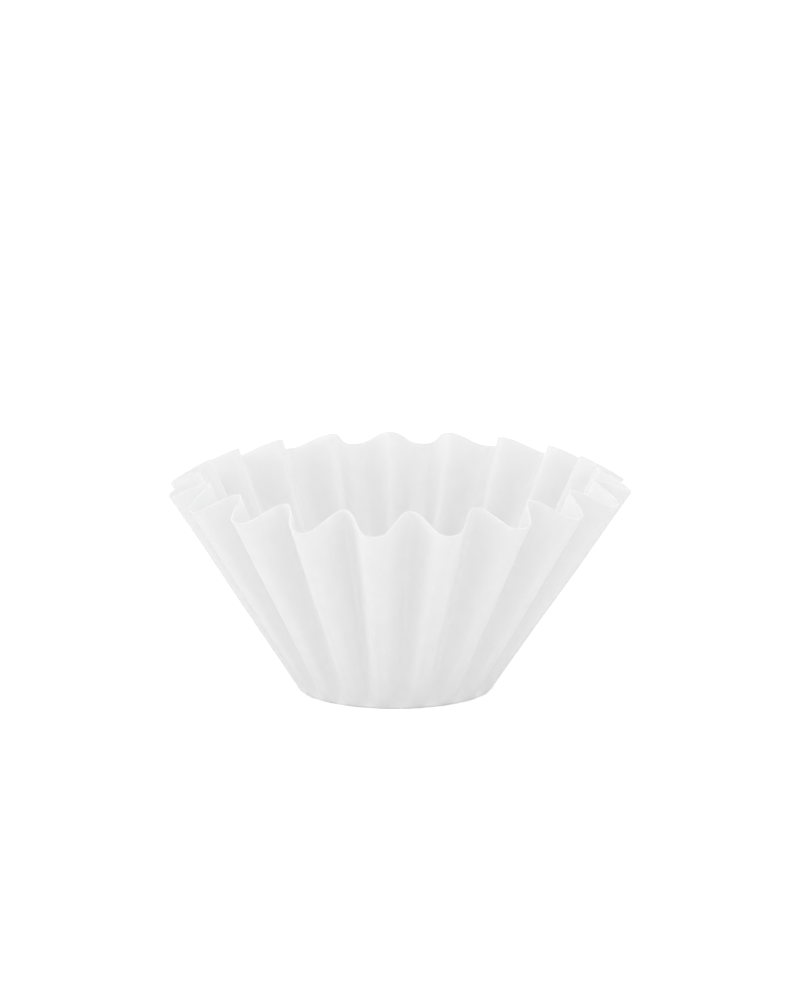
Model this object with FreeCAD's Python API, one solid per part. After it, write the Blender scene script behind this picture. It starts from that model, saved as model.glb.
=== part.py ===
import FreeCAD, Part
import os
from math import acos, asin, atan2, ceil, cos, hypot, pi, radians, sin, sqrt

# A basket coffee filter: one flat disc of paper pressed into a cup with a flat base and a fluted wall.
# Millimetres and degrees. The origin is the centre of the base's underside, and +Z points up.
# A ridge is a flute that stands outwards, and a valley is the hollow between two ridges.
# The flat disc measures base_radius + slant_length from its centre to its rim, and paper doesn't
# stretch: each ring of the wall is as far from the base's edge all round as it was on the flat disc.
SIZES = {
    "base_radius": 26.5,  # the flat base
    "slant_length": 66.0,  # paper from the edge of the base to the rim
    "ridge_lean": 33.6,  # lean of the ridges from upright
    "paper": 0.2,  # thickness
    "flute_count": 20,
    "flute_depth": 9.0,  # from ridge to valley at the rim, along a radius
    "ridge_bend": 4.6,  # outside radius of a ridge at the rim
    "valley_bend": 1.8,  # outside radius of a valley at the rim
    "crease_slant": 6.0,  # paper from the edge of the base to where the flutes are fully creased
    "crease_depth": 1.8,  # from ridge to valley there
    "crease_ridge_bend": 2.6,  # outside radius of a ridge there
    "crease_valley_bend": 1.3,  # outside radius of a valley there
    "first_ridge": 12.0,  # angle from +X to the first ridge
}
RIDGE_ROOM = 0.62  # share of the room between a ridge and a valley that the ridge's bend may take
VALLEY_ROOM = 0.33  # and that the valley's bend may take

# The wall is made of small flat faces, because a smooth wall this thin takes ten times as many when
# it is meshed. These say how many.
FLAT_TURN = 26.0  # degrees of a bend in one face
FLANK_FACES = 2  # across the side of a flute
WALL_ROWS = 3  # from the crease up to the rim

doc = FreeCAD.newDocument("filter")
sheet = doc.addObject("Spreadsheet::Sheet", "Sizes")
for row, (name, size) in enumerate(SIZES.items(), start=1):
    sheet.set(f"A{row}", name)
    sheet.set(f"B{row}", str(size))
    sheet.setAlias(f"B{row}", name)
doc.recompute()

HALF_FLUTE = pi / sheet.flute_count
WALL_LEAN = asin(sin(radians(sheet.ridge_lean)) - sheet.flute_depth / 2 / sheet.slant_length)
ACROSS = sheet.paper / cos(WALL_LEAN)  # the paper's thickness, measured level


def polar(radius, angle):
    return FreeCAD.Vector(radius * cos(angle), radius * sin(angle), 0)


def between(low, high, share):
    return low + (high - low) * share


def flute_at(share):
    """A flute's plan at a share of the way from the crease to the rim, as two bends joined by a flank.

    Gives each bend's centre and radius, ridge first, and the angle that each turns through.
    """
    slant = between(sheet.crease_slant, sheet.slant_length, share)
    depth = between(sheet.crease_depth, sheet.flute_depth, share)
    ridge = sheet.base_radius + slant * sin(radians(sheet.ridge_lean))
    valley = ridge - depth
    room = valley * sin(HALF_FLUTE)
    ridge_bend = min(RIDGE_ROOM * room, between(sheet.crease_ridge_bend, sheet.ridge_bend, share))
    valley_bend = min(VALLEY_ROOM * room, between(sheet.crease_valley_bend, sheet.valley_bend, share))
    ridge_centre = polar(ridge - ridge_bend, 0)
    valley_centre = polar(valley + valley_bend, HALF_FLUTE)
    aim = valley_centre - ridge_centre
    turn = atan2(aim.y, aim.x) - acos((ridge_bend + valley_bend) / aim.Length)
    return ridge_centre, ridge_bend, valley_centre, valley_bend, turn


BEND_FACES = ceil(flute_at(1)[-1] / radians(FLAT_TURN))


def half_flute(share, inwards):
    """Points from the middle of a ridge to the middle of a valley, on a skin that lies inwards."""
    ridge_centre, ridge_bend, valley_centre, valley_bend, turn = flute_at(share)
    steps = [step / BEND_FACES for step in range(BEND_FACES + 1)]
    ridge = [ridge_centre + polar(ridge_bend - inwards, turn * step) for step in steps]
    angles = [between(turn, HALF_FLUTE, step) for step in steps]
    valley = [valley_centre - polar(valley_bend + inwards, angle) for angle in angles]
    flank = [ridge[-1] + (valley[0] - ridge[-1]) * (k / FLANK_FACES) for k in range(1, FLANK_FACES)]
    return ridge + flank + valley


def all_round(half):
    """Repeats half a flute, mirrored and turned, round the whole wall."""
    mirrored = [FreeCAD.Vector(p.x, -p.y, p.z) for p in reversed(half[1:])]
    ring = []
    for flute in range(sheet.flute_count):
        turned = FreeCAD.Rotation(FreeCAD.Vector(0, 0, 1), 360 * flute / sheet.flute_count)
        ring += [turned.multVec(p) for p in mirrored + half[:-1]]
    return ring


def wall_ring(share, inwards):
    """A ring of the wall. Both skins rise to where the outer skin keeps its slant from the base."""
    slant = between(sheet.crease_slant, sheet.slant_length, share)
    points = half_flute(share, inwards)
    for point, outer in zip(points, half_flute(share, 0)):
        point.z = sqrt(slant**2 - (hypot(outer.x, outer.y) - sheet.base_radius) ** 2)
    return all_round(points)


def base_ring(radius, height):
    """The edge of the base, with a point below each point of the crease."""
    points = [polar(radius, atan2(p.y, p.x)) for p in half_flute(0, 0)]
    for point in points:
        point.z = height
    return all_round(points)


def face(*corners):
    return Part.Face(Part.makePolygon([*corners, corners[0]]))


def band(lower, upper):
    """Faces between two rings. Each gap is split along its shorter diagonal."""
    faces = []
    for k in range(len(lower)):
        a, b, c, d = lower[k - 1], lower[k], upper[k], upper[k - 1]
        if a.distanceToPoint(c) < b.distanceToPoint(d):
            faces += [face(a, b, c), face(a, c, d)]
        else:
            faces += [face(a, b, d), face(b, c, d)]
    return faces


def skin(inwards, floor):
    """One side of the paper, from the base's edge up to the rim."""
    wall = [wall_ring(row / WALL_ROWS, inwards) for row in range(WALL_ROWS + 1)]
    return [base_ring(sheet.base_radius - inwards, floor), *wall]


def make_filter():
    """The folded sheet: an outer and an inner skin, closed by the rim, the base and the floor."""
    outer, inner = skin(0, 0), skin(ACROSS, sheet.paper)
    faces = [face(*outer[0]), face(*inner[0])]
    for rings in (outer, inner):
        for lower, upper in zip(rings, rings[1:]):
            faces += band(lower, upper)
    faces += band(outer[-1], inner[-1])
    shell = Part.Shell(faces)
    shell.sewShape()
    paper = doc.addObject("Part::Feature", "Filter")
    paper.Label = "coffee_filter"
    paper.Shape = Part.Solid(shell)
    paper.Placement.Rotation = FreeCAD.Rotation(FreeCAD.Vector(0, 0, 1), sheet.first_ridge)
    return paper


def write(piece):
    """Checks the document and the piece, then writes the piece's file."""
    doc.recompute()
    for item in doc.Objects:
        if {"Invalid", "Error"} & set(item.State):
            raise RuntimeError(f"{item.Label} did not build")
    if piece.Shape.isNull() or not piece.Shape.isValid() or piece.Shape.Volume <= 0:
        raise RuntimeError(f"{piece.Label} is not a sound solid")
    os.makedirs("parts", exist_ok=True)
    piece.Shape.exportStep(f"parts/{piece.Label}.step")
    print(f"{piece.Label}: {len(piece.Shape.Faces)} faces, {piece.Shape.Volume:.0f} cubic mm")


write(make_filter())
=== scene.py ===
"""A basket coffee filter of bleached paper, standing on a white table.

The filter's sizes are in millimetres, and all angles in degrees, until they reach Blender, which works
in metres and radians. The cup's axis is Z, its base is at height 0, and the camera looks along +Y.
"""

import math
from functools import partial

import bpy
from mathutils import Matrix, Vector


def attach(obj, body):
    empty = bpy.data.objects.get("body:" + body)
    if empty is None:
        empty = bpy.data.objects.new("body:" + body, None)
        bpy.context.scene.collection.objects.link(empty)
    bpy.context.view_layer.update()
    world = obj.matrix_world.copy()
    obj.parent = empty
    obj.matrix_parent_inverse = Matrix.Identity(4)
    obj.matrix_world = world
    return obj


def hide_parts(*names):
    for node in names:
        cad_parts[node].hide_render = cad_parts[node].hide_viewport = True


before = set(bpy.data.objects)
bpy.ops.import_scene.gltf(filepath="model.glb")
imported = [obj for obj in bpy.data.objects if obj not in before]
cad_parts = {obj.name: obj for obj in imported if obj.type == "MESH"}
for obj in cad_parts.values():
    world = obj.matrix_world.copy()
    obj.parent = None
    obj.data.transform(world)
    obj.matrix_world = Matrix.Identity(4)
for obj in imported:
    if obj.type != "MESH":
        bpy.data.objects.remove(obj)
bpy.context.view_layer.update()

MM = 0.001
MATH = "ShaderNodeMath"

# The folded sheet, as in the part's source
BASE_RADIUS = 26.5
SLANT_LENGTH = 66.0  # paper from the edge of the base to the rim
RIDGE_LEAN = 33.6  # from upright
PAPER = 0.2  # thickness
FLUTE_COUNT = 20
FLUTE_DEPTH = 9.0  # from ridge to valley at the rim
CREASE_SLANT = 6.0  # paper from the edge of the base to where the flutes are fully creased
CREASE_DEPTH = 1.8  # from ridge to valley there
FIRST_RIDGE = 12.0  # angle from +X

# How real paper folds
FOLD_WIDTH = 0.8  # of the rounded fold round the base
CREASE_FADE = 4.5  # how quickly the flutes fade from the crease down to the fold
BASE_BREADTH = 0.5  # how much broader ridges are than valleys at the base, where 0 is a cosine
RIM_BREADTH = 0.2  # and at the rim
FLATNESS = 0.5  # how flat the tops of both are, where 0 is a cosine
SPREAD = 1.0  # how far, in degrees, the flutes at the sides are turned away from the front
SWAY = 1.2  # how far the rim stands to +X of the base

# How far the pressing strays from even
RIM_STRAY = 0.35  # of the cut edge, up or down the wall
DEPTH_STRAY = 0.07  # of the flutes' depth, as a share of it
TURN_STRAY = 0.5  # of the flutes to one side, in degrees
LEAN_STRAY = 0.5  # of the rim, in or out

# How finely the sheet is divided
COLUMNS = 36 * FLUTE_COUNT
BASE_RINGS = 8
WALL_RINGS = 46
SHARPEST_SMOOTH = 50.0  # angle between faces up to which the surface is shaded smooth

# The table
TABLE_SIDE = 6.0  # metres
TABLE_GAP = 0.05  # under the base, so that light which comes through the paper can come back
TABLE_GLOW = 0.4  # added to what is seen of the table, which is then white but for the shadow

# The studio's light: its strength from all round, and each lamp's name, place, side and watts, in metres
FILL_LIGHT = 0.96
SEEN_LIGHT = 1.0
LAMPS = [
    ("key_soft_box", (-1.5, -0.5, 0.15), 0.7, 2.4),
    ("fill_soft_box", (1.1, -1.3, 0.15), 0.7, 0.9),
]

# The camera looks a little down on the filter, from the front. Its distance and aim are in metres.
ELEVATION = 11.8
DISTANCE = 1.355
AIM = (0.0013, 0.0, 0.0516)
LENS = 180.0


def colour(code):
    """An sRGB hex colour as linear RGBA."""
    channels = [int(code[k : k + 2], 16) / 255 for k in (1, 3, 5)]
    return (*(c / 12.92 if c <= 0.04045 else ((c + 0.055) / 1.055) ** 2.4 for c in channels), 1.0)


def add(tree, kind, *values, inputs={}, output=0, **settings):
    """Adds a node with its settings, and gives one of its outputs.

    values go into its sockets in order, and inputs into sockets by name. A value is a number, a vector,
    a colour or another node's output.
    """
    node = tree.nodes.new(kind)
    for name, value in settings.items():
        setattr(node, name, value)
    for key, value in [*enumerate(values), *inputs.items()]:
        if isinstance(value, bpy.types.NodeSocket):
            tree.links.new(value, node.inputs[key])
        else:
            node.inputs[key].default_value = value
    return node.outputs[output]


# ---------------------------------------------------------------- paper


def filter_paper():
    """Bleached crepe filter paper: wood fibres laid down wet, pressed in felt and left unsized.

    It is a neutral white and fully matt, with a cloudy look where the fibres lie thicker, a felt
    texture too fine to see from a distance, and a little light coming through from behind.
    """
    material = bpy.data.materials.new("bleached_filter_paper")
    material.use_nodes = True
    tree = material.node_tree
    node = partial(add, tree)
    shader = tree.nodes["Principled BSDF"]
    place = node("ShaderNodeTexCoord", output="Object")

    # Clouds 4 mm across, where the fibres lie thicker or thinner
    clouds = node(
        "ShaderNodeTexNoise",
        inputs={"Vector": place, "Scale": 1 / (4 * MM), "Detail": 3.0, "Roughness": 0.6},
    )
    paper = node(
        "ShaderNodeMix",
        data_type="RGBA",
        output=2,
        inputs={0: clouds, 6: colour("#F1F1F1"), 7: colour("#F6F6F6")},
    )
    tree.links.new(paper, shader.inputs["Base Color"])

    # Felt marks 0.5 mm across, and fibres that are really 0.03 mm wide, drawn at 0.15 mm to show
    felt = node(
        "ShaderNodeTexNoise",
        inputs={"Vector": place, "Scale": 1 / (0.5 * MM), "Detail": 2.0, "Roughness": 0.7},
    )
    fibres = node(
        "ShaderNodeTexNoise",
        inputs={"Vector": place, "Scale": 1 / (0.15 * MM), "Detail": 1.0, "Distortion": 1.5},
    )
    relief = node(MATH, felt, fibres, operation="ADD")
    bump = node("ShaderNodeBump", inputs={"Strength": 0.25, "Distance": 0.03 * MM, "Height": relief})
    tree.links.new(bump, shader.inputs["Normal"])

    shader.inputs["Roughness"].default_value = 0.95
    shader.inputs["IOR"].default_value = 1.45
    shader.inputs["Specular IOR Level"].default_value = 0.2
    # Loose fibres stand up from the surface and catch light along its outlines
    shader.inputs["Sheen Weight"].default_value = 0.5
    shader.inputs["Sheen Roughness"].default_value = 0.25
    # Light seeps through the sheet
    shader.inputs["Subsurface Weight"].default_value = 1.0
    shader.inputs["Subsurface Radius"].default_value = (1.0, 1.0, 1.0)
    shader.inputs["Subsurface Scale"].default_value = 0.2 * MM
    return material


# ---------------------------------------------------------------- folded sheet


def pressing_tree():
    """Presses a flat disc of paper into a fluted cup.

    Paper doesn't stretch, so each point is as far up the wall from the fold round the base as it was on
    the disc. How far out it stands follows from the ridges' lean and the flutes' wave, and its height
    follows from that.
    """
    tree = bpy.data.node_groups.new("press_paper_disc", "GeometryNodeTree")
    for name, kind in [
        ("Columns", "Int"),
        ("Base Rings", "Int"),
        ("Wall Rings", "Int"),
        ("Base Radius", "Float"),
        ("Slant Length", "Float"),
        ("Ridge Lean", "Float"),
        ("Flute Count", "Float"),
        ("Flute Depth", "Float"),
        ("Crease Slant", "Float"),
        ("Crease Depth", "Float"),
        ("Crease Fade", "Float"),
        ("First Ridge", "Float"),
        ("Fold Width", "Float"),
        ("Base Breadth", "Float"),
        ("Rim Breadth", "Float"),
        ("Flatness", "Float"),
        ("Spread", "Float"),
        ("Sway", "Float"),
        ("Rim Stray", "Float"),
        ("Depth Stray", "Float"),
        ("Turn Stray", "Float"),
        ("Lean Stray", "Float"),
        ("Paper", "Material"),
    ]:
        tree.interface.new_socket(name, in_out="INPUT", socket_type=f"NodeSocket{kind}")
    tree.interface.new_socket("Sheet", in_out="OUTPUT", socket_type="NodeSocketGeometry")
    given = tree.nodes.new("NodeGroupInput").outputs
    node = partial(add, tree)

    # A flat disc of radius 1, with its rings evenly spaced
    rings = node(MATH, given["Base Rings"], given["Wall Rings"], operation="ADD")
    disc = node(
        "GeometryNodeMeshCone",
        fill_type="NONE",
        inputs={
            "Vertices": given["Columns"],
            "Side Segments": rings,
            "Radius Top": 0.0,
            "Radius Bottom": 1.0,
            "Depth": 0.0,
        },
    )
    here = node("GeometryNodeInputPosition")
    x = node("ShaderNodeSeparateXYZ", here, output="X")
    y = node("ShaderNodeSeparateXYZ", here, output="Y")
    out = node("ShaderNodeVectorMath", here, operation="LENGTH", output="Value")
    around = node(MATH, y, x, operation="ARCTAN2")
    east = node(MATH, around, operation="COSINE")
    north = node(MATH, around, operation="SINE")

    # Noise on a cylinder has no seam where a circle closes
    cylinder = node("ShaderNodeCombineXYZ", east, north, out)

    def uneven(seed, spots, upwards=0.0):
        """Noise from about -1 to 1, in spots round the cup and up its wall."""
        point = node("ShaderNodeVectorMath", cylinder, (spots, spots, upwards), operation="MULTIPLY")
        noise = node(
            "ShaderNodeTexNoise",
            noise_dimensions="4D",
            inputs={"Vector": point, "W": seed, "Scale": 1.0, "Detail": 1.0},
        )
        centred = node(MATH, noise, 0.5, operation="SUBTRACT")
        return node(MATH, centred, 3.0, operation="MULTIPLY")

    # Paper from the fold round the base, less than 0 on the base. Rings crowd towards the fold.
    ring = node(MATH, out, rings, operation="MULTIPLY")
    ring = node(MATH, ring, given["Base Rings"], operation="SUBTRACT")
    up = node(MATH, ring, 0.0, operation="MAXIMUM")
    up = node(MATH, up, given["Wall Rings"], operation="DIVIDE")
    up = node(MATH, up, up, operation="MULTIPLY")
    down = node(MATH, ring, 0.0, operation="MINIMUM")
    down = node(MATH, down, given["Base Rings"], operation="DIVIDE")
    down = node(MATH, down, down, operation="MULTIPLY")
    slant = uneven(7.0, 1.6)
    slant = node(MATH, slant, given["Rim Stray"], given["Slant Length"], operation="MULTIPLY_ADD")
    up = node(MATH, up, slant, operation="MULTIPLY")
    down = node(MATH, down, given["Base Radius"], operation="MULTIPLY")
    from_fold = node(MATH, up, down, operation="SUBTRACT")

    # How much of it is wall. The fold is rounded, so this starts as a curve.
    half = node(MATH, given["Fold Width"], 0.5, operation="MULTIPLY")
    bent = node(MATH, from_fold, half, operation="ADD")
    bent = node("ShaderNodeClamp", bent, 0.0, given["Fold Width"])
    curve = node(MATH, bent, bent, operation="MULTIPLY")
    curve = node(MATH, curve, given["Fold Width"], operation="DIVIDE")
    straight = node(MATH, from_fold, half, operation="SUBTRACT")
    straight = node(MATH, straight, 0.0, operation="MAXIMUM")
    wall = node(MATH, curve, 0.5, straight, operation="MULTIPLY_ADD")
    share = node(MATH, wall, given["Slant Length"], operation="DIVIDE")

    # The flutes' depth. From the crease to the rim it grows evenly, and below the crease it fades.
    depth = node(
        "ShaderNodeMapRange",
        wall,
        given["Crease Slant"],
        given["Slant Length"],
        given["Crease Depth"],
        given["Flute Depth"],
        clamp=False,
    )
    fade = node(MATH, wall, given["Crease Slant"], operation="DIVIDE")
    fade = node(MATH, fade, given["Crease Fade"], operation="MULTIPLY")
    fade = node(MATH, fade, -1.0, operation="MULTIPLY")
    fade = node(MATH, fade, operation="EXPONENT")
    kept = node(MATH, 1.0, fade, operation="SUBTRACT")
    depth = node(MATH, depth, kept, operation="MULTIPLY")
    stray = uneven(1.0, 2.6, upwards=0.6)
    stray = node(MATH, stray, given["Depth Stray"], 1.0, operation="MULTIPLY_ADD")
    depth = node(MATH, depth, stray, operation="MULTIPLY")

    # Their wave: 1 on a ridge and -1 in a valley, with flattened tops, and ridges broader than valleys
    first = node(MATH, given["Spread"], east, given["First Ridge"], operation="MULTIPLY_ADD")
    turned = node(MATH, around, first, operation="SUBTRACT")
    stray = uneven(2.0, 2.2, upwards=0.8)
    turned = node(MATH, stray, given["Turn Stray"], turned, operation="MULTIPLY_ADD")
    turned = node(MATH, turned, given["Flute Count"], operation="MULTIPLY")
    cosine = node(MATH, turned, operation="COSINE")
    squared = node(MATH, cosine, cosine, operation="MULTIPLY")
    steepness = node(MATH, given["Flatness"], squared, 1.0, operation="MULTIPLY_ADD")
    steepest = node(MATH, given["Flatness"], 1.0, operation="ADD")
    flattened = node(MATH, steepest, steepness, operation="DIVIDE")
    flattened = node(MATH, flattened, operation="SQRT")
    wave = node(MATH, cosine, flattened, operation="MULTIPLY")
    breadth = node(
        "ShaderNodeMapRange",
        share,
        0.0,
        1.0,
        given["Base Breadth"],
        given["Rim Breadth"],
        clamp=False,
    )
    flank = node(MATH, 1.0, squared, operation="SUBTRACT")
    wave = node(MATH, flank, breadth, wave, operation="MULTIPLY_ADD")

    # The cup. Its ridges rise straight from the fold, and its valleys lie inside them.
    inside = node(MATH, wave, 1.0, operation="SUBTRACT")
    inside = node(MATH, inside, 0.5, operation="MULTIPLY")
    inside = node(MATH, inside, depth, operation="MULTIPLY")
    lean = node(MATH, given["Ridge Lean"], operation="SINE")
    leant = node(MATH, wall, lean, inside, operation="MULTIPLY_ADD")
    stray = uneven(3.0, 1.8, upwards=3.0)
    stray = node(MATH, stray, share, operation="MULTIPLY")
    leant = node(MATH, stray, given["Lean Stray"], leant, operation="MULTIPLY_ADD")

    level = node(MATH, from_fold, wall, operation="SUBTRACT")
    radius = node(MATH, level, given["Base Radius"], operation="ADD")
    radius = node(MATH, radius, leant, operation="ADD")
    across = node(MATH, radius, east, operation="MULTIPLY")
    across = node(MATH, given["Sway"], share, across, operation="MULTIPLY_ADD")
    deep = node(MATH, radius, north, operation="MULTIPLY")

    wall = node(MATH, wall, wall, operation="MULTIPLY")
    leant = node(MATH, leant, leant, operation="MULTIPLY")
    height = node(MATH, wall, leant, operation="SUBTRACT")
    height = node(MATH, height, 0.0, operation="MAXIMUM")
    height = node(MATH, height, operation="SQRT")

    pressed = node("ShaderNodeCombineXYZ", across, deep, height)
    cup = node("GeometryNodeSetPosition", disc, inputs={"Position": pressed})
    cup = node("GeometryNodeFlipFaces", cup)
    whole = node("GeometryNodeRealizeInstances", cup)
    sheet = node("GeometryNodeSetMaterial", whole, inputs={"Material": given["Paper"]})
    tree.links.new(sheet, tree.nodes.new("NodeGroupOutput").inputs[0])
    return tree


def press_filter(paper):
    """The folded sheet, with its outside where the tree puts it and its thickness inwards."""
    blank = bpy.data.objects.new("paper_disc", bpy.data.meshes.new("paper_disc"))
    bpy.context.collection.objects.link(blank)
    press = blank.modifiers.new("press", "NODES")
    press.node_group = pressing_tree()
    settings = {
        "Columns": COLUMNS,
        "Base Rings": BASE_RINGS,
        "Wall Rings": WALL_RINGS,
        "Base Radius": BASE_RADIUS * MM,
        "Slant Length": SLANT_LENGTH * MM,
        "Ridge Lean": math.radians(RIDGE_LEAN),
        "Flute Count": float(FLUTE_COUNT),
        "Flute Depth": FLUTE_DEPTH * MM,
        "Crease Slant": CREASE_SLANT * MM,
        "Crease Depth": CREASE_DEPTH * MM,
        "Crease Fade": CREASE_FADE,
        "First Ridge": math.radians(FIRST_RIDGE),
        "Fold Width": FOLD_WIDTH * MM,
        "Base Breadth": BASE_BREADTH,
        "Rim Breadth": RIM_BREADTH,
        "Flatness": FLATNESS,
        "Spread": math.radians(SPREAD),
        "Sway": SWAY * MM,
        "Rim Stray": RIM_STRAY * MM,
        "Depth Stray": DEPTH_STRAY,
        "Turn Stray": math.radians(TURN_STRAY),
        "Lean Stray": LEAN_STRAY * MM,
        "Paper": paper,
    }
    for socket in press.node_group.interface.items_tree:
        if socket.in_out == "INPUT":
            press[socket.identifier] = settings[socket.name]
    thicken = blank.modifiers.new("thicken", "SOLIDIFY")
    thicken.thickness = PAPER * MM
    thicken.offset = -1.0

    ready = blank.evaluated_get(bpy.context.evaluated_depsgraph_get())
    mesh = bpy.data.meshes.new_from_object(ready)
    blank.modifiers.clear()
    mesh.name = "folded_sheet"
    mesh.shade_smooth()
    mesh.set_sharp_from_angle(angle=math.radians(SHARPEST_SMOOTH))
    sheet = bpy.data.objects.new("folded_sheet", mesh)
    bpy.context.collection.objects.link(sheet)
    bpy.data.objects.remove(blank)
    return sheet


# ---------------------------------------------------------------- studio


def seen(tree):
    """1 for what the camera sees, straight or in a reflection or through something clear, else 0."""
    ray = tree.nodes.new("ShaderNodeLightPath").outputs
    direct = add(tree, MATH, ray["Is Camera Ray"], ray["Is Glossy Ray"], operation="MAXIMUM")
    return add(tree, MATH, direct, ray["Is Transmission Ray"], operation="MAXIMUM")


def table():
    """A white table top, far wider than the filter. It is seen as white, apart from the shadow."""
    half = TABLE_SIDE / 2
    corners = [(-half, -half), (half, -half), (half, half), (-half, half)]
    mesh = bpy.data.meshes.new("table_top")
    mesh.from_pydata([(x, y, -TABLE_GAP * MM) for x, y in corners], [], [(0, 1, 2, 3)])
    top = bpy.data.objects.new("table_top", mesh)
    bpy.context.collection.objects.link(top)

    material = bpy.data.materials.new("white_laminate")
    material.use_nodes = True
    tree = material.node_tree
    shader = tree.nodes["Principled BSDF"]
    shader.inputs["Base Color"].default_value = colour("#EEEEEE")
    shader.inputs["Roughness"].default_value = 0.9
    shader.inputs["Specular IOR Level"].default_value = 0.1
    shader.inputs["Emission Color"].default_value = colour("#FFFFFF")
    glow = add(tree, MATH, seen(tree), TABLE_GLOW, operation="MULTIPLY")
    tree.links.new(glow, shader.inputs["Emission Strength"])
    mesh.materials.append(material)
    return top


def light_studio():
    """Even light from all round, a soft lamp on the left and a weaker one on the right, both low."""
    world = bpy.data.worlds.new("white_studio")
    bpy.context.scene.world = world
    world.use_nodes = True
    tree = world.node_tree
    light = tree.nodes["Background"]
    light.inputs["Color"].default_value = colour("#FFFFFF")
    strength = add(
        tree,
        "ShaderNodeMix",
        data_type="FLOAT",
        inputs={0: seen(tree), 2: FILL_LIGHT, 3: SEEN_LIGHT},
    )
    tree.links.new(strength, light.inputs["Strength"])

    for name, place, side, watts in LAMPS:
        lamp = bpy.data.lights.new(name, "AREA")
        lamp.shape = "SQUARE"
        lamp.size = side
        lamp.energy = watts
        box = bpy.data.objects.new(name, lamp)
        box.location = place
        box.rotation_euler = (-Vector(place)).to_track_quat("-Z", "Y").to_euler()
        bpy.context.collection.objects.link(box)


def camera():
    tilt = math.radians(ELEVATION)
    eye = bpy.data.objects.new("camera", bpy.data.cameras.new("camera"))
    eye.data.lens = LENS
    eye.data.sensor_width = 36.0
    eye.data.clip_start = 0.05
    eye.location = Vector(AIM) + DISTANCE * Vector((0, -math.cos(tilt), math.sin(tilt)))
    eye.rotation_euler = (math.pi / 2 - tilt, 0, 0)
    bpy.context.collection.objects.link(eye)
    bpy.context.scene.camera = eye


bpy.context.scene.view_settings.view_transform = "Standard"
camera()
light_studio()
table()

folded_sheet = press_filter(filter_paper())
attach(folded_sheet, "root")
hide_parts("coffee_filter")
